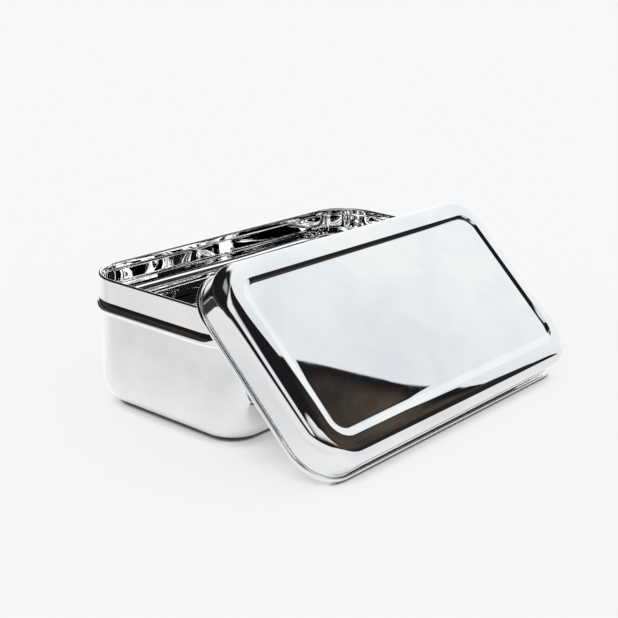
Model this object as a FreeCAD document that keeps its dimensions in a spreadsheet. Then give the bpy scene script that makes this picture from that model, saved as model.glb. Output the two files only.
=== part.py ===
import FreeCAD, Part
import math
import os
import Sketcher

# Two-piece stainless lunch box: a drawn container, and its drawn lid leaning on the
# container's long side. Millimetres. Origin: centre of the container's flat base, +Z up,
# +X along the box, -Y towards the leaning lid. The lid's body is drawn level, with its
# own origin at the centre of its open side, and its Placement leans it.

os.makedirs("parts", exist_ok=True)
doc = FreeCAD.newDocument("lunch_box")

DIMENSIONS = {
    # container, outside sizes over the collar
    "box_length": 170.0,
    "box_width": 87.0,
    "box_height": 55.5,
    "box_corner": 19.6,
    "sheet_metal": 0.7,
    # pressed bead that the closed lid comes down on: a long sloping face over a tight crest
    "bead_top": 46.0,
    "bead_crest": 42.4,
    "bead_out": 1.3,
    "crest_round": 0.85,
    "bead_under_lean": 62.0,
    # body below the bead, and the drawn radius at its base
    "body_inset": 1.4,
    "base_radius": 12.5,
    # folded rim
    "hem_depth": 3.0,
    # lid, inside sizes over the collar
    "lid_gap_length": 2.1,
    "lid_gap_width": 0.45,
    "lid_corner": 17.2,
    "lid_depth": 15.4,
    "lid_shoulder": 5.5,
    "roll_out": 1.4,
    # sunk panel in the lid
    "panel_length": 155.6,
    "panel_width": 70.2,
    "panel_corner": 8.6,
    "panel_recess": 0.7,
    "recess_slope": 3.6,
    # how the lid leans: its angle above the ground, its toe's distance from the middle, and
    # how far along the box it stands
    "lean_angle": 43.1,
    "toe_back": 84.3,
    "lid_shift": 0.5,
    # overlap that joins a flat plate to the swept wall around it
    "plate_lap": 2.0,
}

DERIVED = {
    "ground": "0",
    # container: half sizes, and the ends of the wall's straight and round parts
    "box_end": "box_length / 2",
    "box_side": "box_width / 2",
    "inner_end": "box_end - sheet_metal",
    "hem_inner_end": "box_end - 2 * sheet_metal",
    "hem_crown_end": "inner_end",
    "hem_crown": "box_height - sheet_metal",
    "hem_foot": "box_height - hem_depth",
    "body_end": "box_end - body_inset",
    "body_inner_end": "body_end - sheet_metal",
    # bead: its face and its underside are tangent to the crest, on both skins
    "crest_out": "bead_out - crest_round",
    "crest_centre_end": "box_end + crest_out",
    "face_drop": "bead_top - bead_crest",
    "face_reach": "sqrt(crest_out ^ 2 + face_drop ^ 2)",
    "face_lean": "atan(crest_out / face_drop) + asin(crest_round / face_reach)",
    "under_lean": "bead_under_lean * 1 deg",
    "face_foot_end": "crest_centre_end + crest_round * cos(face_lean)",
    "face_foot": "bead_crest + crest_round * sin(face_lean)",
    "crest_low_end": "crest_centre_end + crest_round * cos(under_lean)",
    "crest_low": "bead_crest - crest_round * sin(under_lean)",
    "bead_foot": "crest_low - (crest_low_end - body_end) / tan(under_lean)",
    "groove_round": "crest_round - sheet_metal",
    "groove_top": "bead_top - sheet_metal * tan(face_lean / 2)",
    "groove_face_end": "crest_centre_end + groove_round * cos(face_lean)",
    "groove_face": "bead_crest + groove_round * sin(face_lean)",
    "groove_low_end": "crest_centre_end + groove_round * cos(under_lean)",
    "groove_low": "bead_crest - groove_round * sin(under_lean)",
    "groove_foot": "bead_foot + sheet_metal * tan(under_lean / 2)",
    "base_inner_radius": "base_radius - sheet_metal",
    "floor_end": "body_end - base_radius",
    "floor_lap_end": "floor_end - plate_lap",
    "floor_plate_end": "floor_end - plate_lap / 2",
    "floor_plate_side": "box_side - body_inset - base_radius - plate_lap / 2",
    "floor_plate_corner": "box_corner - body_inset - base_radius - plate_lap / 2",
    # lid: half sizes over its skirt, its rolled edge and its shoulder
    "lid_inner_end": "box_end + lid_gap_length",
    "lid_end": "lid_inner_end + sheet_metal",
    "lid_side": "box_side + lid_gap_width + sheet_metal",
    "roll_round": "(roll_out + sheet_metal) / 2",
    "roll_centre_end": "lid_inner_end + roll_round",
    "roll_tip_end": "lid_end + roll_out",
    "roll_join": "roll_round + sqrt(roll_round ^ 2 - (roll_centre_end - lid_end) ^ 2)",
    "shoulder_end": "lid_end - lid_shoulder",
    "shoulder_foot": "lid_depth - lid_shoulder",
    "shoulder_inner_radius": "lid_shoulder - sheet_metal",
    "border_under": "lid_depth - sheet_metal",
    "border_lap_end": "shoulder_end - plate_lap",
    "border_plate_end": "shoulder_end - plate_lap / 2",
    "border_plate_side": "lid_side - lid_shoulder - plate_lap / 2",
    "border_plate_corner": "lid_corner - lid_shoulder - plate_lap / 2",
    # sunk panel: outlines of its slope at the top and the bottom, on both skins
    "panel_end": "panel_length / 2",
    "panel_side": "panel_width / 2",
    "panel_level": "lid_depth - panel_recess",
    "panel_floor_end": "panel_end - recess_slope",
    "panel_floor_side": "panel_side - recess_slope",
    "panel_floor_corner": "panel_corner - recess_slope",
    "bend_shift": "sheet_metal * tan(atan(panel_recess / recess_slope) / 2)",
    "under_end": "panel_end + bend_shift",
    "under_side": "panel_side + bend_shift",
    "under_corner": "panel_corner + bend_shift",
    "under_level": "panel_level - sheet_metal",
    "under_floor_end": "panel_floor_end + bend_shift",
    "under_floor_side": "panel_floor_side + bend_shift",
    "under_floor_corner": "panel_floor_corner + bend_shift",
    # lid's place: its rolled edge touches the ground along its lower long side
    "lean_sine": "sin(lean_angle * 1 deg)",
    "lean_cosine": "cos(lean_angle * 1 deg)",
    "lid_reach": "lid_side + roll_out",
    "toe_level": "roll_round * (1 - lean_sine - lean_cosine)",
    "lid_centre_y": "lid_reach * lean_cosine - toe_back",
    "lid_centre_z": "lid_reach * lean_sine + toe_level",
}


def make_sheet():
    sheet = doc.addObject("Spreadsheet::Sheet", "sizes")
    row = 1
    for name, value in DIMENSIONS.items():
        sheet.set(f"A{row}", name)
        sheet.set(f"B{row}", str(value))
        sheet.setAlias(f"B{row}", name)
        row += 1
    for name, formula in DERIVED.items():
        sheet.set(f"A{row}", name)
        sheet.set(f"B{row}", "=" + formula)
        sheet.setAlias(f"B{row}", name)
        row += 1
    doc.recompute()
    return sheet


sizes = make_sheet()


def size(name):
    """The number now in a named cell."""
    return float(sizes.get(name))


def make_body(name):
    body = doc.addObject("PartDesign::Body", name)
    body.Label = name
    return body


def make_sketch(body, name, plane, level=None):
    """A sketch on one of the body's own origin planes, raised to a named level if given."""
    sketch = body.newObject("Sketcher::SketchObject", name)
    origin = next(f for f in body.Origin.OriginFeatures if f.Role == plane)
    sketch.AttachmentSupport = [(origin, "")]
    sketch.MapMode = "FlatFace"
    if level:
        sketch.setExpression("AttachmentOffset.Base.z", f"sizes.{level}")
    return sketch


def drive(sketch, constraint, name):
    """Add a dimension that a named cell drives."""
    index = sketch.addConstraint(constraint)
    sketch.setExpression(f"Constraints[{index}]", f"sizes.{name}")


def rounded_rectangle(sketch, end, side, corner):
    """A rounded rectangle about the origin from its half sizes, split on the X axis."""
    a = size(end)
    b = size(side)
    r = size(corner)
    point = FreeCAD.Vector
    up = point(0, 0, 1)
    quarter = math.pi / 2
    middles = [point(a - r, b - r), point(r - a, b - r), point(r - a, r - b), point(a - r, r - b)]
    arcs = [
        Part.ArcOfCircle(Part.Circle(middle, up, r), turn * quarter, (turn + 1) * quarter)
        for turn, middle in enumerate(middles)
    ]
    lines = [
        Part.LineSegment(point(a, 0), point(a, b - r)),
        Part.LineSegment(point(a - r, b), point(r - a, b)),
        Part.LineSegment(point(-a, b - r), point(-a, r - b)),
        Part.LineSegment(point(r - a, -b), point(a - r, -b)),
        Part.LineSegment(point(a, r - b), point(a, 0)),
    ]
    chain = [lines[0], arcs[0], lines[1], arcs[1], lines[2], arcs[2], lines[3], arcs[3], lines[4]]
    ids = [sketch.addGeometry(geometry, False) for geometry in chain]
    for first, second in zip(ids, ids[1:]):
        sketch.addConstraint(Sketcher.Constraint("Tangent", first, 2, second, 1))
    right, first_arc, top, second_arc, left, third_arc, bottom, fourth_arc, last = ids
    sketch.addConstraint(Sketcher.Constraint("Coincident", last, 2, right, 1))
    sketch.addConstraint(Sketcher.Constraint("PointOnObject", right, 1, -1))
    sketch.addConstraint(Sketcher.Constraint("Vertical", right))
    sketch.addConstraint(Sketcher.Constraint("Vertical", last))
    sketch.addConstraint(Sketcher.Constraint("Horizontal", bottom))
    sketch.addConstraint(Sketcher.Constraint("Symmetric", top, 1, top, 2, -2))
    sketch.addConstraint(Sketcher.Constraint("Symmetric", left, 1, left, 2, -1))
    drive(sketch, Sketcher.Constraint("DistanceX", -1, 1, right, 1, a), end)
    drive(sketch, Sketcher.Constraint("DistanceY", -1, 1, top, 1, b), side)
    drive(sketch, Sketcher.Constraint("Radius", first_arc, r), corner)
    for arc in (second_arc, third_arc, fourth_arc):
        sketch.addConstraint(Sketcher.Constraint("Equal", first_arc, arc))


def arc_between(start, end, radius, turn):
    """The short arc between two points; turn is 1 for anticlockwise and -1 for clockwise."""
    chord = end - start
    middle = (start + end) / 2
    rise = math.sqrt(max(radius**2 - (chord.Length / 2) ** 2, 0))
    side = FreeCAD.Vector(-chord.y, chord.x, 0).normalize()
    centre = middle + side * rise * turn
    first, second = (start, end) if turn > 0 else (end, start)
    begin = math.atan2(first.y - centre.y, first.x - centre.x)
    finish = math.atan2(second.y - centre.y, second.x - centre.x)
    if finish < begin:
        finish += 2 * math.pi
    circle = Part.Circle(centre, FreeCAD.Vector(0, 0, 1), radius)
    return Part.ArcOfCircle(circle, begin, finish)


def wall_section(sketch, points, arcs):
    """A closed outline through points given as (across, up) cell names.

    arcs maps the number of a leg, counted from the first point, to (radius cell, turn).
    """
    spots = [FreeCAD.Vector(size(across), size(up), 0) for across, up in points]
    ids = []
    for leg, start in enumerate(spots):
        end = spots[(leg + 1) % len(spots)]
        if leg in arcs:
            radius, turn = arcs[leg]
            geometry = arc_between(start, end, size(radius), turn)
        else:
            geometry = Part.LineSegment(start, end)
        ids.append(sketch.addGeometry(geometry, False))
    clockwise = {leg for leg, (radius, turn) in arcs.items() if turn < 0}
    for leg, geometry in enumerate(ids):
        after = (leg + 1) % len(ids)
        leaving = 1 if leg in clockwise else 2
        entering = 2 if after in clockwise else 1
        sketch.addConstraint(
            Sketcher.Constraint("Coincident", geometry, leaving, ids[after], entering)
        )
        across, up = points[after]
        spot = spots[after]
        corner = Sketcher.Constraint("DistanceX", -1, 1, geometry, leaving, spot.x)
        drive(sketch, corner, across)
        corner = Sketcher.Constraint("DistanceY", -1, 1, geometry, leaving, spot.y)
        if up == "ground":
            sketch.addConstraint(Sketcher.Constraint("PointOnObject", geometry, leaving, -1))
        else:
            drive(sketch, corner, up)
    for leg, (radius, turn) in arcs.items():
        drive(sketch, Sketcher.Constraint("Radius", ids[leg], size(radius)), radius)


def sweep(body, name, section, path):
    """Sweep a section once round a closed path."""
    pipe = body.newObject("PartDesign::AdditivePipe", name)
    pipe.Profile = section
    pipe.Spine = (path, [f"Edge{i + 1}" for i in range(len(path.Shape.Edges))])
    pipe.Mode = "Frenet"
    pipe.Transition = "Right corner"
    section.Visibility = False
    path.Visibility = False
    return pipe


def pad(body, name, sketch, length):
    plate = body.newObject("PartDesign::Pad", name)
    plate.Profile = sketch
    plate.setExpression("Length", f"sizes.{length}")
    return plate


def loft(body, kind, name, first, second):
    feature = body.newObject(f"PartDesign::{kind}", name)
    feature.Profile = first
    feature.Sections = [second]
    feature.Ruled = True
    return feature


def make_container():
    """Drawn container: one wall section swept round the plan, and the flat base."""
    body = make_body("container")
    path = make_sketch(body, "container_plan", "XY_Plane")
    rounded_rectangle(path, "box_end", "box_side", "box_corner")
    section = make_sketch(body, "container_wall", "XZ_Plane")
    points = [
        ("floor_lap_end", "ground"),
        ("floor_end", "ground"),
        ("body_end", "base_radius"),
        ("body_end", "bead_foot"),
        ("crest_low_end", "crest_low"),
        ("face_foot_end", "face_foot"),
        ("box_end", "bead_top"),
        ("box_end", "hem_crown"),
        ("hem_crown_end", "box_height"),
        ("hem_inner_end", "hem_crown"),
        ("hem_inner_end", "hem_foot"),
        ("inner_end", "hem_foot"),
        ("inner_end", "groove_top"),
        ("groove_face_end", "groove_face"),
        ("groove_low_end", "groove_low"),
        ("body_inner_end", "groove_foot"),
        ("body_inner_end", "base_radius"),
        ("floor_end", "sheet_metal"),
        ("floor_lap_end", "sheet_metal"),
    ]
    arcs = {
        1: ("base_radius", 1),
        4: ("crest_round", 1),
        7: ("sheet_metal", 1),
        8: ("sheet_metal", 1),
        13: ("groove_round", -1),
        16: ("base_inner_radius", -1),
    }
    wall_section(section, points, arcs)
    doc.recompute()
    sweep(body, "container_sweep", section, path)
    floor = make_sketch(body, "floor_outline", "XY_Plane")
    rounded_rectangle(floor, "floor_plate_end", "floor_plate_side", "floor_plate_corner")
    pad(body, "floor_plate", floor, "sheet_metal")
    return body


def make_lid():
    """Drawn lid: skirt with a rolled edge and a round shoulder, and a sunk flat panel."""
    body = make_body("lid")
    path = make_sketch(body, "lid_plan", "XY_Plane")
    rounded_rectangle(path, "lid_end", "lid_side", "lid_corner")
    section = make_sketch(body, "lid_wall", "XZ_Plane")
    points = [
        ("roll_centre_end", "ground"),
        ("roll_tip_end", "roll_round"),
        ("lid_end", "roll_join"),
        ("lid_end", "shoulder_foot"),
        ("shoulder_end", "lid_depth"),
        ("border_lap_end", "lid_depth"),
        ("border_lap_end", "border_under"),
        ("shoulder_end", "border_under"),
        ("lid_inner_end", "shoulder_foot"),
        ("lid_inner_end", "roll_round"),
    ]
    arcs = {
        0: ("roll_round", 1),
        1: ("roll_round", 1),
        3: ("lid_shoulder", 1),
        7: ("shoulder_inner_radius", -1),
        9: ("roll_round", 1),
    }
    wall_section(section, points, arcs)
    doc.recompute()
    sweep(body, "lid_sweep", section, path)
    plate = make_sketch(body, "border_outline", "XY_Plane", "border_under")
    rounded_rectangle(plate, "border_plate_end", "border_plate_side", "border_plate_corner")
    pad(body, "border_plate", plate, "sheet_metal")
    sink_panel(body)
    body.Placement.Rotation = FreeCAD.Rotation(FreeCAD.Vector(1, 0, 0), size("lean_angle"))
    body.setExpression("Placement.Rotation.Angle", "sizes.lean_angle * 1 deg")
    body.setExpression("Placement.Base.x", "sizes.lid_shift")
    body.setExpression("Placement.Base.y", "sizes.lid_centre_y")
    body.setExpression("Placement.Base.z", "sizes.lid_centre_z")
    return body


def sink_panel(body):
    """The sunk panel: a tapered boss under the plate, then the same taper cut from above."""
    under = make_sketch(body, "boss_outline", "XY_Plane", "border_under")
    rounded_rectangle(under, "under_end", "under_side", "under_corner")
    under_floor = make_sketch(body, "boss_floor", "XY_Plane", "under_level")
    rounded_rectangle(under_floor, "under_floor_end", "under_floor_side", "under_floor_corner")
    doc.recompute()
    loft(body, "AdditiveLoft", "panel_boss", under, under_floor)
    top = make_sketch(body, "recess_outline", "XY_Plane", "lid_depth")
    rounded_rectangle(top, "panel_end", "panel_side", "panel_corner")
    top_floor = make_sketch(body, "recess_floor", "XY_Plane", "panel_level")
    rounded_rectangle(top_floor, "panel_floor_end", "panel_floor_side", "panel_floor_corner")
    doc.recompute()
    loft(body, "SubtractiveLoft", "panel_recess_cut", top, top_floor)


def check(parts):
    """Stop if any object failed to compute, or any sub-part has no valid solid."""
    doc.recompute()
    for thing in doc.Objects:
        if "Invalid" in thing.State or "Error" in thing.State:
            raise RuntimeError(f"{thing.Label} did not compute: {thing.State}")
    for part in parts:
        if part.Shape.isNull() or not part.Shape.isValid() or not part.Shape.Solids:
            raise RuntimeError(f"{part.Label} has no valid solid")


parts = [make_container(), make_lid()]
check(parts)
for part in parts:
    part.Shape.exportStep(f"parts/{part.Label}.step")
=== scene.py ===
import math

import bmesh
import bpy
from mathutils import Matrix, Vector


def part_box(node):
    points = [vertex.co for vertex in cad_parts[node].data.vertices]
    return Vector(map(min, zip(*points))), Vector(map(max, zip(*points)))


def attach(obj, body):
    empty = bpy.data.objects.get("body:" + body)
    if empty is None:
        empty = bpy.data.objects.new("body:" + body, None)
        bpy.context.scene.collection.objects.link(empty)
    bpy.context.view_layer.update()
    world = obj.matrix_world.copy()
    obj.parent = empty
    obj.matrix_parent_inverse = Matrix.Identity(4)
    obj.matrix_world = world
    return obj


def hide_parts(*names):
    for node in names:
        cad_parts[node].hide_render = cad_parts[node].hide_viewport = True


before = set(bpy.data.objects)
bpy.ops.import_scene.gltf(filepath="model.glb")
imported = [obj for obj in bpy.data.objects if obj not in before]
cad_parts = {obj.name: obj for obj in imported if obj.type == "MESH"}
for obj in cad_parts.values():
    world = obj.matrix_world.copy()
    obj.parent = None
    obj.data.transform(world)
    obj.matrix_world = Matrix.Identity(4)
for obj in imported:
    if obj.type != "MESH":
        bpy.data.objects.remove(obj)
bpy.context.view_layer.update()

MM = 0.001

# ---------------------------------------------------------------- sizes, in millimetres
# The container's outside and the lid's length are measured from the CAD nodes; the rest is drawn.
BOX_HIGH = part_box("container")[1]
LID_LOW, LID_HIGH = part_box("lid")
SHEET = 0.7
BEAD_OUT = 1.3
BOX_END = BOX_HIGH.x / MM - BEAD_OUT
BOX_SIDE = BOX_HIGH.y / MM - BEAD_OUT
BOX_TOP = BOX_HIGH.z / MM
BOX_CORNER = 19.6
BEAD_TOP = 46.0
HEM_DEPTH = 3.0
HEM_ROUND = 0.35
HEM_CREASE = 0.02
BODY_INSET = 1.4
BASE_RADIUS = 12.5

# The stop bead: a hollow neck, a long face, a tight crest and a hollow foot. The angles say how
# far above the horizontal the surface faces where one passes into the next.
BEAD_NECK = 0.6
BEAD_CREST = SHEET + 0.15
BEAD_FOOT = 1.8
FACE_STEEP = 30.0
FACE_SHALLOW = 12.0
CREST_UNDER = -62.0

ROLL_OUT = 1.4
ROLL_RADIUS = (ROLL_OUT + SHEET) / 2
ROLL_START = 180
ROLL_STOP = 448
LIP_ROUND = (0.03, 0.06)
SEAM_DEPTH = 0.7
SEAM_STEP = 0.04
LEAN = math.radians(43.1)
LID_TOE = -84.3
LID_DEPTH = 15.4
LID_SHIFT = (LID_HIGH.x + LID_LOW.x) / 2 / MM
LID_END = (LID_HIGH.x - LID_LOW.x) / 2 / MM - ROLL_OUT
LID_SIDE = 44.65
LID_CORNER = 17.2
SHOULDER = 5.5
PANEL_END = 77.8
PANEL_SIDE = 35.1
PANEL_CORNER = 8.6
PANEL_RECESS = 0.7
RECESS_SLOPE = 3.6
RECESS_BEND = 1.0
STEEPER = 0.7

# How finely the rounds are cut, how far a flat's first loops lie from a round, and the smallest
# corner that a ring may shrink to.
ROUND_STEPS = 24
ROLL_STEPS = 30
HEM_STEPS = 14
FLAT_STEPS = 6
NEAR_LOOP = 0.8
FAR_LOOP = 3.0
TIGHTEST = 0.02


# ---------------------------------------------------------------- section helpers
def arc(x, z, radius, start, stop, steps, ends=True):
    """Points of an arc, in degrees; ends=False leaves out the first point."""
    points = [polar(x, z, radius, t) for t in spread(start, stop, steps)]
    return points if ends else points[1:]


def cosd(t):
    return math.cos(math.radians(t))


def sind(t):
    return math.sin(math.radians(t))


def polar(x, z, radius, t):
    """The point at a radius from (x, z), at t degrees; a negative radius is on the far side."""
    return (x + radius * cosd(t), z + radius * sind(t))


def spread(start, stop, steps):
    """Even steps from start to stop, both included."""
    return [start + (stop - start) * i / steps for i in range(steps + 1)]


def line(a, b, steps):
    """Points strictly between a and b."""
    return [
        (a[0] + (b[0] - a[0]) * i / steps, a[1] + (b[1] - a[1]) * i / steps)
        for i in range(1, steps)
    ]


def ring(end, side, corner, offset, across=28, along=12, turn=14):
    """A rounded rectangle grown by offset: points anticlockwise from the middle of the +X side."""
    r = max(corner + offset, TIGHTEST)
    a, b = end + offset, side + offset
    points = []
    half = along // 2
    points += [(a, (b - r) * i / half) for i in range(half)]
    points += [(a - r + r * math.cos(t), b - r + r * math.sin(t)) for t in quarter(0, turn)]
    points += [((a - r) * (1 - 2 * i / across), b) for i in range(1, across)]
    points += [(r - a + r * math.cos(t), b - r + r * math.sin(t)) for t in quarter(1, turn)]
    points += [(-a, (b - r) * (1 - 2 * i / along)) for i in range(1, along)]
    points += [(r - a + r * math.cos(t), r - b + r * math.sin(t)) for t in quarter(2, turn)]
    points += [((a - r) * (2 * i / across - 1), -b) for i in range(1, across)]
    points += [(a - r + r * math.cos(t), r - b + r * math.sin(t)) for t in quarter(3, turn)]
    points += [(a, (b - r) * (i / half - 1)) for i in range(1, half)]
    return points


def quarter(index, turn):
    return [math.pi / 2 * (index + i / turn) for i in range(turn + 1)]


def at_height(points, height):
    return [(x, y, height) for x, y in points]


def loft(bm, rings):
    """Faces between successive rings of the same number of vertices."""
    rows = [[bm.verts.new(Vector(p) * MM) for p in points] for points in rings]
    for low, high in zip(rows, rows[1:]):
        count = len(low)
        for i in range(count):
            j = (i + 1) % count
            bm.faces.new((low[i], low[j], high[j], high[i]))
    return rows


def cap(bm, row, flip):
    """Fills a ring with one flat face."""
    bm.faces.new(list(reversed(row)) if flip else row)


def finish_mesh(bm, name, material, body, node):
    bmesh.ops.recalc_face_normals(bm, faces=bm.faces)
    mesh = bpy.data.meshes.new(name)
    bm.to_mesh(mesh)
    bm.free()
    for polygon in mesh.polygons:
        polygon.use_smooth = True
    piece = bpy.data.objects.new(name, mesh)
    bpy.context.scene.collection.objects.link(piece)
    mesh.materials.append(material)
    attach(piece, body)
    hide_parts(node)


# ---------------------------------------------------------------- container
def container_section():
    """(offset from the collar's outer face, height), outside up, over the hem, inside down."""
    body = -BODY_INSET
    base = body - BASE_RADIUS
    points = [(base - FAR_LOOP, 0), (base - NEAR_LOOP, 0)]
    points += arc(base, BASE_RADIUS, BASE_RADIUS, -90, 0, ROUND_STEPS)
    outer = bead_path(0)
    points += line((body, BASE_RADIUS), outer[0], FLAT_STEPS)
    points += outer
    points += line(outer[-1], (0, BOX_TOP - SHEET), FLAT_STEPS)
    points += hem_path()
    inner = list(reversed(bead_path(SHEET)))
    points += line(points[-1], inner[0], FLAT_STEPS)
    points += inner
    points += line(inner[-1], (body - SHEET, BASE_RADIUS), FLAT_STEPS)
    points += arc(base, BASE_RADIUS, BASE_RADIUS - SHEET, 0, -90, ROUND_STEPS)
    points += [(base - NEAR_LOOP, SHEET), (base - FAR_LOOP, SHEET)]
    return points


def hem_path():
    """The rim folded inwards: over the top, down to the sheet's cut edge, and into the crease."""
    head = BOX_TOP - SHEET
    foot = BOX_TOP - HEM_DEPTH
    points = arc(-SHEET, head, SHEET, 0, 180, HEM_STEPS)
    points += [(-2 * SHEET, head - 1.0), (-2 * SHEET, foot + 0.5)]
    points += arc(-SHEET - HEM_ROUND, foot + HEM_ROUND, HEM_ROUND, 180, 270, 4)[:-1]
    points += [(-SHEET - HEM_CREASE, foot - HEM_CREASE), (-SHEET, foot - 0.3)]
    return points


def bead_path(inset):
    """The stop bead from the body up to the collar, moved inwards by inset."""
    gain = BEAD_NECK * (1 - cosd(FACE_STEEP)) + BEAD_CREST * (1 - cosd(FACE_SHALLOW))
    face = (BEAD_OUT - gain) / (cosd(FACE_SHALLOW) - cosd(FACE_STEEP))
    points = []
    cx, cz = BEAD_NECK, BEAD_TOP
    for t in spread(0, FACE_STEEP, 5):
        points.append(polar(cx, cz, -BEAD_NECK - inset, t))
    x, z = polar(cx, cz, -BEAD_NECK, FACE_STEEP)
    cx, cz = polar(x, z, -face, FACE_STEEP)
    for t in spread(FACE_STEEP, FACE_SHALLOW, 8)[1:]:
        points.append(polar(cx, cz, face - inset, t))
    x, z = polar(cx, cz, face, FACE_SHALLOW)
    cx, cz = polar(x, z, -BEAD_CREST, FACE_SHALLOW)
    for t in spread(FACE_SHALLOW, CREST_UNDER, 9)[1:]:
        points.append(polar(cx, cz, BEAD_CREST - inset, t))
    x, z = polar(cx, cz, BEAD_CREST, CREST_UNDER)
    foot_x = -BODY_INSET + BEAD_FOOT * (1 - cosd(CREST_UNDER))
    run = (x - foot_x) / -sind(CREST_UNDER)
    cx = foot_x + BEAD_FOOT * cosd(CREST_UNDER)
    cz = z - run * cosd(CREST_UNDER) + BEAD_FOOT * sind(CREST_UNDER)
    for t in spread(CREST_UNDER, 0, 6):
        points.append(polar(cx, cz, -BEAD_FOOT - inset, t))
    return list(reversed(points))


def make_container(material):
    bm = bmesh.new()
    rings = [
        at_height(ring(BOX_END, BOX_SIDE, BOX_CORNER, offset), z)
        for offset, z in container_section()
    ]
    rows = loft(bm, rings)
    cap(bm, rows[0], True)
    cap(bm, rows[-1], False)
    finish_mesh(bm, "container_shell", material, "container", "container")


# ---------------------------------------------------------------- lid
def lid_place():
    """The lid's own frame in the row frame: toe on the ground, leaning back towards +Y."""
    reach = LID_SIDE + ROLL_OUT
    toe_z = ROLL_RADIUS * (1 - math.sin(LEAN) - math.cos(LEAN))
    centre_y = LID_TOE + reach * math.cos(LEAN)
    centre_z = toe_z + reach * math.sin(LEAN)
    shift = Vector((LID_SHIFT, centre_y, centre_z)) * MM
    return Matrix.Translation(shift) @ Matrix.Rotation(LEAN, 4, "X")


def lid_section():
    """(offset from the skirt's outer face, height): round the roll, through the seam behind it, up."""
    centre = ROLL_OUT - ROLL_RADIUS
    points = arc(centre, ROLL_RADIUS, ROLL_RADIUS, ROLL_START, ROLL_STOP, ROLL_STEPS)
    lip = points[-1][0]
    top = 2 * ROLL_RADIUS
    seam = top - SEAM_DEPTH
    # over the roll's cut edge, down one side of the seam, across its foot, and up the skirt
    points += [(lip - LIP_ROUND[0], top - LIP_ROUND[1]), (lip - SEAM_STEP, seam)]
    points += [(SEAM_STEP / 2, seam - 0.08), (0, seam + 0.1), (0, top)]
    points += line(points[-1], (0, LID_DEPTH - SHOULDER), FLAT_STEPS)
    points += arc(-SHOULDER, LID_DEPTH - SHOULDER, SHOULDER, 0, 90, ROUND_STEPS)
    return points


def recess_path():
    """(offset from the recess outline, drop below the border): a tight bend, then a hollow curve."""
    tilt = 2 * math.degrees(math.atan2(PANEL_RECESS, RECESS_SLOPE))
    hollow = RECESS_SLOPE / sind(tilt) - RECESS_BEND
    path = [(2.2, 0.0), (NEAR_LOOP, 0.0)]
    path += [polar(0, -RECESS_BEND, RECESS_BEND, 90 + t) for t in spread(0, tilt, 5)]
    end = -RECESS_SLOPE
    low = -(RECESS_BEND + hollow) * (1 - cosd(tilt))
    path += [polar(end, low + hollow, -hollow, 90 + t) for t in spread(tilt, 0, 9)[1:]]
    path += [(end - 1.0, low), (end - 3.5, low)]
    return path


def recess_ring(offset):
    """A ring of the sunk panel's slope, which is steeper along the upper and right-hand sides."""
    edge = ring(PANEL_END, PANEL_SIDE, PANEL_CORNER, 0)
    away = ring(PANEL_END, PANEL_SIDE, PANEL_CORNER, 1)
    wide = ring(PANEL_END, PANEL_SIDE, PANEL_CORNER, offset)
    tight = ring(PANEL_END, PANEL_SIDE, PANEL_CORNER, offset * STEEPER)
    points = []
    for (ex, ey), (ax, ay), (wx, wy), (tx, ty) in zip(edge, away, wide, tight):
        share = 0.5 + 0.5 * max(-1.0, min(1.0, ax - ex + ay - ey))
        points.append((wx + (tx - wx) * share, wy + (ty - wy) * share))
    return points


def lid_rings():
    """The rings of the outside, from the roll to the panel, and those of the inside likewise."""
    recess = recess_path()
    outside = [lid_ring(o, z) for o, z in lid_section()]
    outside += [at_height(recess_ring(o), LID_DEPTH + drop) for o, drop in recess]
    straight = (ROLL_RADIUS + 0.6, ROLL_RADIUS + FAR_LOOP, LID_DEPTH - SHOULDER)
    inner = [(-SHEET, z) for z in straight]
    inner += arc(-SHOULDER, LID_DEPTH - SHOULDER, SHOULDER - SHEET, 0, 90, 16, ends=False)
    inside = [lid_ring(o, z) for o, z in inner]
    inside += [at_height(recess_ring(o), LID_DEPTH - SHEET + drop) for o, drop in recess]
    return outside, inside


def lid_ring(offset, height):
    return at_height(ring(LID_END, LID_SIDE, LID_CORNER, offset), height)


def make_lid(material):
    bm = bmesh.new()
    outside, inside = lid_rings()
    rows = loft(bm, list(reversed(outside)) + inside)
    cap(bm, rows[0], False)
    cap(bm, rows[-1], True)
    bmesh.ops.transform(bm, matrix=lid_place(), verts=bm.verts)
    finish_mesh(bm, "lid_shell", material, "lid", "lid")


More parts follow.
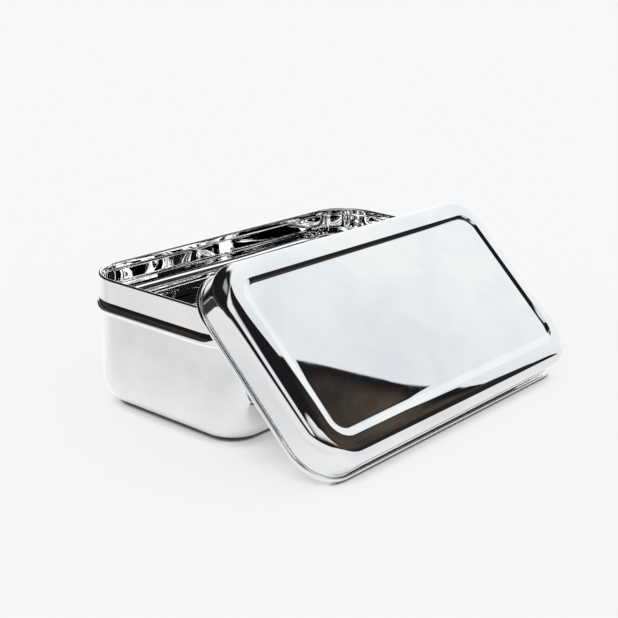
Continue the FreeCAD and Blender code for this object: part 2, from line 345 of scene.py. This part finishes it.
# ---------------------------------------------------------------- node helpers
class Nodes:
    """Writes shader arithmetic as short calls on one node tree."""

    def __init__(self, tree):
        self.tree = tree

    def add(self, kind, settings=(), inputs=()):
        node = self.tree.nodes.new(kind)
        for name, value in settings:
            setattr(node, name, value)
        for socket, value in inputs:
            self.feed(node.inputs[socket], value)
        return node

    def feed(self, socket, value):
        if isinstance(value, bpy.types.NodeSocket):
            self.tree.links.new(value, socket)
        else:
            socket.default_value = value

    def math(self, operation, a, b=0.0):
        pair = ((0, a), (1, b))
        return self.add("ShaderNodeMath", [("operation", operation)], pair).outputs[0]

    def product(self, first, *others):
        for value in others:
            first = self.math("MULTIPLY", first, value)
        return first

    def inverse(self, mask):
        return self.math("SUBTRACT", 1.0, mask)

    def axes(self, vector):
        return self.add("ShaderNodeSeparateXYZ", (), [(0, vector)]).outputs

    def bearing(self, x, y):
        """Degrees from +X towards +Y."""
        return self.product(self.math("ARCTAN2", y, x), 180 / math.pi)

    def smooth(self, value, low, high, to_low=0.0, to_high=1.0):
        """A soft step from to_low at low to to_high at high; low may be above high."""
        if low > high:
            low, high, to_low, to_high = high, low, to_high, to_low
        ends = ((0, value), (1, low), (2, high), (3, to_low), (4, to_high))
        kind = [("interpolation_type", "SMOOTHSTEP")]
        return self.add("ShaderNodeMapRange", kind, ends).outputs[0]

    def linear(self, value, low, high, to_low=0.0, to_high=1.0):
        ends = ((0, value), (1, low), (2, high), (3, to_low), (4, to_high))
        return self.add("ShaderNodeMapRange", (), ends).outputs[0]

    def noise(self, vector, scale, detail, roughness, distortion=0.0):
        inputs = (
            ("Vector", vector),
            ("Scale", scale),
            ("Detail", detail),
            ("Roughness", roughness),
            ("Distortion", distortion),
        )
        return self.add("ShaderNodeTexNoise", (), inputs).outputs["Fac"]

    def curve(self, value, low, high, points):
        """A line through (value, result) points, read by a curve node between low and high."""
        results = [result for at, result in points]
        floor, ceiling = min(results), max(results)
        node = self.add("ShaderNodeFloatCurve")
        self.feed(node.inputs["Value"], self.linear(value, low, high))
        curve = node.mapping.curves[0]
        while len(curve.points) < len(points):
            curve.points.new(0.5, 0.5)
        for knot, (at, result) in zip(curve.points, points):
            knot.location = ((at - low) / (high - low), (result - floor) / (ceiling - floor))
            knot.handle_type = "VECTOR"
        node.mapping.update()
        return self.linear(node.outputs[0], 0.0, 1.0, floor, ceiling)

    def bump(self, height, distance, normal=None):
        inputs = [("Height", height), ("Distance", distance)]
        if normal:
            inputs.append(("Normal", normal))
        return self.add("ShaderNodeBump", (), inputs).outputs[0]

    def mix(self, factor, a, b):
        node = self.add("ShaderNodeMix", [("data_type", "RGBA")])
        self.feed(node.inputs["Factor"], factor)
        self.feed(node.inputs[6], a)
        self.feed(node.inputs[7], b)
        return node.outputs[2]


# ---------------------------------------------------------------- materials
# Each tint is (in the smears, between them, in the fine marks).
CONTAINER_TINT = ((0.66, 0.67, 0.675, 1), (0.715, 0.715, 0.715, 1), (0.58, 0.58, 0.59, 1))
LID_TINT = ((0.66, 0.672, 0.69, 1), (0.725, 0.725, 0.72, 1), (0.60, 0.60, 0.62, 1))
# One plain colour painted on the container's inside, brighter than the outside: painted light.
INSIDE_PAINTED_BRIGHT = (0.85, 0.85, 0.85, 1)
POLISH = 0.008
CONTAINER_DULL = 0.05
CONTAINER_GRAIN = 3e-7
LID_DULL = 0.008
LID_GRAIN = 8e-8
ROLLING = 2e-5
BUCKLE = 1.1e-3
CRUMPLE = 1.5e-4
# Where the marks of deep drawing begin and are full, inside the container, in metres.
COLLAR_FOOT = (0.0405, 0.0425)
COLLAR_HEAD = (0.0526, 0.0520)
CORNER_X = (0.060, 0.070)
CORNER_Y = (0.018, 0.028)


def steel(name, tint, place, dullness, grain, marks=None):
    """Bright polished stainless sheet; place is the part's own frame, so detail follows its sides."""
    material = bpy.data.materials.new(name)
    material.use_nodes = True
    n = Nodes(material.node_tree)
    shader = material.node_tree.nodes["Principled BSDF"]
    shader.inputs["Metallic"].default_value = 1.0
    spot = n.add("ShaderNodeTexCoord").outputs["Object"]
    turned = n.add("ShaderNodeMapping", [("vector_type", "TEXTURE")], [(0, spot)])
    turned.inputs["Location"].default_value = place.to_translation()
    turned.inputs["Rotation"].default_value = place.to_euler()
    spot = turned.outputs[0]
    # handling marks: broad pale smears, and small patches where the shine is duller
    smear = n.noise(spot, scale=38, detail=4, roughness=0.55, distortion=0.6)
    patch = n.noise(spot, scale=160, detail=5, roughness=0.65, distortion=0.3)
    speck = n.noise(spot, scale=1400, detail=2, roughness=0.5)
    dull = n.product(n.smooth(patch, 0.5, 0.68), n.smooth(smear, 0.42, 0.6))
    # polishing lines: fine, close, drawn along the part's length
    along = n.add("ShaderNodeMapping", (), [(0, spot)])
    along.inputs["Scale"].default_value = (1, 45, 45)
    lines = n.noise(along.outputs[0], scale=60, detail=4, roughness=0.7)
    shade = n.mix(n.smooth(smear, 0.3, 0.7), tint[0], tint[1])
    shade = n.mix(n.smooth(lines, 0.62, 0.8, 0, 0.35), shade, tint[2])
    shade = n.mix(n.smooth(speck, 0.66, 0.78, 0, 0.25), shade, tint[2])
    rough = n.linear(lines, 0.3, 0.75, POLISH, 2 * POLISH)
    rough = n.math("ADD", rough, n.product(dull, dullness))
    n.feed(shader.inputs["Roughness"], rough)
    # the sheet's slight unevenness under the polish; the lines are on the outside only
    rolling = n.noise(spot, scale=45, detail=1, roughness=0.4)
    bump = n.bump(rolling, ROLLING)
    if marks:
        bump, inside = marks(n, spot, bump)
        # inside, the smears give way to one plain colour, brighter than the outside: painted light
        # inside the container
        shade = n.mix(inside, shade, INSIDE_PAINTED_BRIGHT)
        lines = n.product(lines, n.inverse(inside))
    bump = n.bump(lines, grain, bump)
    n.feed(shader.inputs["Base Color"], shade)
    n.feed(shader.inputs["Normal"], bump)
    return material


def container_polish():
    place = Matrix.Identity(4)
    tint, dull, grain = CONTAINER_TINT, CONTAINER_DULL, CONTAINER_GRAIN
    return steel("container_polish", tint, place, dull, grain, draw_marks)


def lid_polish():
    return steel("lid_polish", LID_TINT, lid_place(), LID_DULL, LID_GRAIN)


def draw_marks(n, spot, bump):
    """Marks of deep drawing inside the container: a buckled collar and crumpled corners."""
    x, y, z = n.axes(spot)
    facing = n.axes(n.add("ShaderNodeTexCoord").outputs["Normal"])
    outward = n.math("ADD", n.product(x, facing[0]), n.product(y, facing[1]))
    inside = n.smooth(outward, 0.002, -0.002)
    collar = n.product(inside, n.smooth(z, *COLLAR_FOOT), n.smooth(z, *COLLAR_HEAD))
    end = n.smooth(n.math("ABSOLUTE", x), *CORNER_X)
    corner = n.product(end, n.smooth(n.math("ABSOLUTE", y), *CORNER_Y), collar)
    stretched = n.add("ShaderNodeMapping", (), [(0, spot)])
    stretched.inputs["Scale"].default_value = (1, 1, 4)
    buckle = n.noise(stretched.outputs[0], scale=14, detail=0, roughness=0.3)
    bump = n.bump(n.product(buckle, collar), BUCKLE, bump)
    crumple = n.noise(spot, scale=120, detail=0, roughness=0.4)
    return n.bump(n.product(crumple, corner), CRUMPLE, bump), inside


# ---------------------------------------------------------------- stage
# The studio that the polish shows, as bearings (degrees from +X towards +Y) and heights (degrees
# above the ground). A dark band lies between the lower and the upper line; all else is pale.
BAND_FOOT = [
    (-180, 18), (-170, 23), (-150, 25), (-120, 25), (-90, 25), (-75, 27), (-60, 26), (-52, 14),
    (-42, 6), (-36, 1), (-20, 1), (45, 1), (60, 1), (95, -1), (150, 0), (162, 4), (167, 8),
    (177, 17), (180, 18),
]
BAND_HEAD = [
    (-180, 33), (-170, 34), (-158, 39), (-150, 46), (-139, 51), (-121, 60), (-98, 66), (-82, 69),
    (-60, 69), (-39, 65), (-31, 62), (-20, 50), (0, 48), (45, 48), (60, 50), (95, 52), (165, 50),
    (172, 36), (180, 33),
]
# The left edge of a tall pale card in the band: (height, bearing).
CARD_EDGE = [
    (0, -31.5), (12, -31), (17, -30), (24, -26.5), (28.5, -23.2), (30.5, -22.4), (32.6, -22.86),
    (34, -23.0), (36, -23.03), (38, -23.06), (60, -22),
]
PAPER = (0.93, 0.93, 0.93, 1)
# How bright the polish sees the paper, as (X in metres, gain): brightest at the object's left end.
PAPER_LIGHT = [(-0.25, 1.0), (-0.185, 1.0), (-0.143, 0.91), (-0.097, 1.10), (-0.06, 1.10), (0.0, 1.0)]
LAMP_ON_FLOOR = (1.035, 1.035, 1.035, 1)
PALE = (1.12, 1.13, 1.14, 1)
DEEP_WHITE = (3.0, 3.0, 3.0, 1)
CARD_DIM = (1.07, 1.11, 1.14, 1)
CARD_BRIGHT = (1.23, 1.25, 1.26, 1)
DARK_DEEP = (0.014, 0.0135, 0.015, 1)
DARK_FLECK = (0.026, 0.025, 0.026, 1)
DARK_WARM = (0.104, 0.082, 0.066, 1)
# The black painted on the paper's far end where the polish sees it: painted shade.
PAINTED_SHADE_PAPER = (0.02, 0.02, 0.02, 1)
OVERHEAD_GREY = 0.42
WALL_WAY = (-0.883, -0.469)

FLOOR_HALF = 4.0
LIT_THROUGH = 0.8
PAPER_WHITE = 0.9
PAPER_IN_STEEL = 1.2
PAPER_DEEP = 1.5
CONTACT_REACH = 0.0018
SHADE_REACH = 0.05

LAMP_HEIGHT = 0.42
LAMP_X = (-0.5, 0.55)
LAMP_Y = (-0.65, -0.31)

CAMERA_AZIMUTH = math.radians(-50.922)
CAMERA_ELEVATION = math.radians(18.016)
CAMERA_ROLL = math.radians(1.866)
CAMERA_TARGET = Vector((121.738, 91.058, -19.582)) * MM
CAMERA_DISTANCE = 711.62 * MM
SENSOR = 36.0
LENS = 73.5311


def level_sheet(name, cloth, x, y, z):
    """A level rectangle with a material named cloth of its own: (object, material)."""
    mesh = bpy.data.meshes.new(name)
    corners = [(x[0], y[0], z), (x[1], y[0], z), (x[1], y[1], z), (x[0], y[1], z)]
    mesh.from_pydata(corners, [], [(0, 1, 2, 3)])
    sheet = bpy.data.objects.new(name, mesh)
    bpy.context.scene.collection.objects.link(sheet)
    material = bpy.data.materials.new(cloth)
    material.use_nodes = True
    mesh.materials.append(material)
    return sheet, material


def make_floor():
    """Pale paper, lit mostly through itself so that its shadows are faint; dark where shut in."""
    span = (-FLOOR_HALF, FLOOR_HALF)
    floor, material = level_sheet("floor", "floor_paper", span, span, 0)
    n = Nodes(material.node_tree)
    shader = material.node_tree.nodes["Principled BSDF"]
    shader.inputs["Roughness"].default_value = 0.9
    shader.inputs["Specular IOR Level"].default_value = 0.0
    shader.inputs["Emission Color"].default_value = PAPER
    rays = n.add("ShaderNodeLightPath").outputs
    glossy = rays["Is Glossy Ray"]
    position = n.add("ShaderNodeNewGeometry").outputs["Position"]
    # the far end on the left, which the polish sees painted black with its glow cut: painted shade
    end = n.product(paper_end(n, position), glossy)
    # a crisp line of contact, and a softer shade where the floor is shut in, as under the lid
    glow = n.product(n.smooth(openness(n, CONTACT_REACH), 0.3, 0.8), LIT_THROUGH)
    glow = n.product(glow, n.smooth(openness(n, SHADE_REACH), 0.15, 0.46, 0.45, 1.0))
    # the polish shows the paper brighter than the view does, and again so in a second reflection
    glow = n.product(glow, n.linear(glossy, 0, 1, 1, PAPER_IN_STEEL))
    glow = n.product(glow, n.linear(rays["Ray Depth"], 1, 2, 1, PAPER_DEEP), n.inverse(end))
    light = n.curve(n.axes(position)[0], -0.25, 0.0, PAPER_LIGHT)
    glow = n.product(glow, n.linear(glossy, 0, 1, 1, light))
    white = [PAPER_WHITE * (1 - LIT_THROUGH)] * 3 + [1]
    n.feed(shader.inputs["Base Color"], n.mix(end, white, PAINTED_SHADE_PAPER))
    n.feed(shader.inputs["Emission Strength"], glow)


def openness(n, reach):
    """How open the surface is within reach: 1 in the open, 0 in a crevice."""
    inputs = [("Distance", reach)]
    return n.add("ShaderNodeAmbientOcclusion", [("samples", 8)], inputs).outputs["AO"]


def paper_end(n, position):
    """A mask of the paper's far end on the left, past the lamps' reach, which the polish sees painted
    black: painted shade.
    """
    x, y = n.axes(position)[:2]
    bearing = n.bearing(x, y)
    reach = n.math("SQRT", n.math("ADD", n.product(x, x), n.product(y, y)))
    sector = n.product(n.smooth(bearing, 84, 92), n.smooth(bearing, 146, 138))
    return n.product(sector, n.smooth(reach, 0.36, 0.44, 0.0, 0.97))


def make_world():
    """Plain pale surroundings for the view and the floor; cards and dark gaps for the polish."""
    world = bpy.data.worlds.new("studio")
    bpy.context.scene.world = world
    world.use_nodes = True
    n = Nodes(world.node_tree)
    direction = n.add("ShaderNodeTexCoord").outputs["Generated"]
    x, y, z = n.axes(direction)
    bearing = n.bearing(x, y)
    height = n.product(n.math("ARCSINE", z), 180 / math.pi)
    rays = n.add("ShaderNodeLightPath").outputs
    card = card_mask(n, bearing, height)
    masks = [card, wall_mask(n, x, y, z, height, rays["Ray Depth"])]
    masks += ceiling_masks(n, x, y, z, bearing, height)
    foot = n.curve(bearing, -180, 180, BAND_FOOT)
    gap = n.inverse(n.smooth(n.math("SUBTRACT", height, foot), -1.0, 1.5, 1.0, 0.0))
    for mask in masks:
        gap = n.product(gap, n.inverse(mask))
    card_light = n.mix(n.smooth(bearing, -22.5, -14.5), CARD_DIM, CARD_BRIGHT)
    pale = n.mix(card, PALE, card_light)
    # seen in one polished face through another, the lamps still read as white
    pale = n.mix(n.linear(rays["Ray Depth"], 2, 6), pale, DEEP_WHITE)
    seen = n.mix(gap, pale, band_colour(n, direction, bearing, height))
    plain = n.mix(rays["Is Camera Ray"], LAMP_ON_FLOOR, PAPER)
    background = world.node_tree.nodes["Background"]
    n.feed(background.inputs["Color"], n.mix(rays["Is Glossy Ray"], plain, seen))
    background.inputs["Strength"].default_value = 1.0


def card_mask(n, bearing, height):
    """The tall pale card, whose left edge is the crisp one."""
    edge = n.math("SUBTRACT", bearing, n.curve(height, 0, 60, CARD_EDGE))
    across = n.product(n.smooth(edge, -0.05, 0.05), n.smooth(bearing, 56, 44))
    return n.product(across, n.smooth(height, 50, 60, 1.0, 0.0))


def wall_mask(n, x, y, z, height, depth):
    """A wall card that shows only in repeated reflections, as on the inside of the collar."""
    level = n.math("SQRT", n.math("SUBTRACT", 1.0, n.product(z, z)))
    toward = n.math("ADD", n.product(x, WALL_WAY[0]), n.product(y, WALL_WAY[1]))
    wall = n.smooth(n.math("DIVIDE", toward, n.math("MAXIMUM", level, 0.001)), 0.70, 0.78)
    wall = n.product(wall, n.smooth(height, 31, 34), n.smooth(height, 53, 49))
    return n.product(wall, n.linear(depth, 2, 3))


def ceiling_masks(n, x, y, z, bearing, height):
    """What is pale above the band: the far ceiling, a hanging screen, and a grey patch overhead."""
    # the ceiling's marks are laid out on a plane one unit up
    up = n.math("MAXIMUM", z, 0.001)
    east = n.math("DIVIDE", x, up)
    north = n.math("DIVIDE", y, up)
    head = n.curve(bearing, -180, 180, BAND_HEAD)
    above = n.smooth(n.math("SUBTRACT", height, head), -2.0, 3.0)
    dark = n.product(n.smooth(east, 0.75, 0.5), n.smooth(north, -0.31, -0.22))
    above = n.product(above, n.inverse(dark))
    screen = n.product(n.smooth(bearing, -166, -159), n.smooth(bearing, -134, -141))
    screen = n.product(screen, n.smooth(height, 32, 36), n.smooth(height, 54, 48))
    overhead = n.product(n.smooth(n.math("ABSOLUTE", east), 0.34, 0.14), OVERHEAD_GREY)
    overhead = n.product(overhead, n.smooth(n.math("ABSOLUTE", north), 0.24, 0.10))
    return [above, screen, overhead]


def band_colour(n, direction, bearing, height):
    """The dark band: nearly black with faint flecks, and warm brown low on two sides."""
    warm = n.product(n.smooth(height, 39, 34.5), n.smooth(bearing, -75, -50))
    warm = n.product(warm, n.smooth(bearing, -23.1, -24.3), n.smooth(height, 20, 32, 0.15, 1.0))
    shelf = n.product(n.smooth(bearing, 80, 100), n.smooth(height, 17, 13, 0.0, 0.5))
    warm = n.math("MAXIMUM", warm, n.product(shelf, n.smooth(height, 3, 6)))
    mottle = n.noise(direction, scale=26.0, detail=3.0, roughness=0.6)
    warm = n.product(warm, n.smooth(mottle, 0.3, 0.65, 0.45, 1.0))
    flecks = n.smooth(n.noise(direction, scale=48.0, detail=5.0, roughness=0.7), 0.5, 0.7)
    return n.mix(warm, n.mix(flecks, DARK_DEEP, DARK_FLECK), DARK_WARM)


def make_lamp():
    """A long soft lamp low over the front of the object: only the polish shows it."""
    lamp, material = level_sheet("lamp", "lamp_cloth", LAMP_X, LAMP_Y, LAMP_HEIGHT)
    n = Nodes(material.node_tree)
    lamp.visible_camera = False
    lamp.visible_diffuse = False
    lamp.visible_shadow = False
    nodes = material.node_tree.nodes
    nodes.remove(nodes["Principled BSDF"])
    x, y = n.axes(n.add("ShaderNodeNewGeometry").outputs["Position"])[:2]
    # soft at its ends and front, and sharp along its back edge, which runs slightly aslant
    lit = n.product(n.smooth(x, -0.44, -0.08), n.smooth(x, 0.31, 0.25), n.smooth(y, -0.62, -0.42))
    back = n.math("SUBTRACT", y, n.smooth(x, 0.0, 0.15, -0.341, -0.356))
    lit = n.product(lit, n.smooth(back, 0.004, -0.004, 0.0, 0.97))
    clear = n.add("ShaderNodeBsdfTransparent").outputs[0]
    bright = n.add("ShaderNodeEmission", (), [("Color", PALE)]).outputs[0]
    blend = n.add("ShaderNodeMixShader", (), [(0, lit), (1, clear), (2, bright)]).outputs[0]
    n.feed(nodes["Material Output"].inputs["Surface"], blend)


def make_camera():
    """At the viewing angle: the focal length and place keep the object's proportions in frame."""
    level = math.cos(CAMERA_ELEVATION)
    side = math.sin(CAMERA_AZIMUTH) * level
    back = Vector((side, -math.cos(CAMERA_AZIMUTH) * level, math.sin(CAMERA_ELEVATION)))
    data = bpy.data.cameras.new("camera")
    camera = bpy.data.objects.new("camera", data)
    bpy.context.scene.collection.objects.link(camera)
    camera.location = CAMERA_TARGET + back * CAMERA_DISTANCE
    camera.rotation_mode = "QUATERNION"
    look = (-back).to_track_quat("-Z", "Y")
    camera.rotation_quaternion = look @ Matrix.Rotation(CAMERA_ROLL, 3, "Z").to_quaternion()
    data.sensor_width = SENSOR
    data.lens = LENS
    data.clip_start = 0.01
    data.clip_end = 50.0
    bpy.context.scene.camera = camera


make_container(container_polish())
make_lid(lid_polish())
make_floor()
make_world()
make_lamp()
make_camera()
bpy.context.scene.view_settings.view_transform = "Standard"
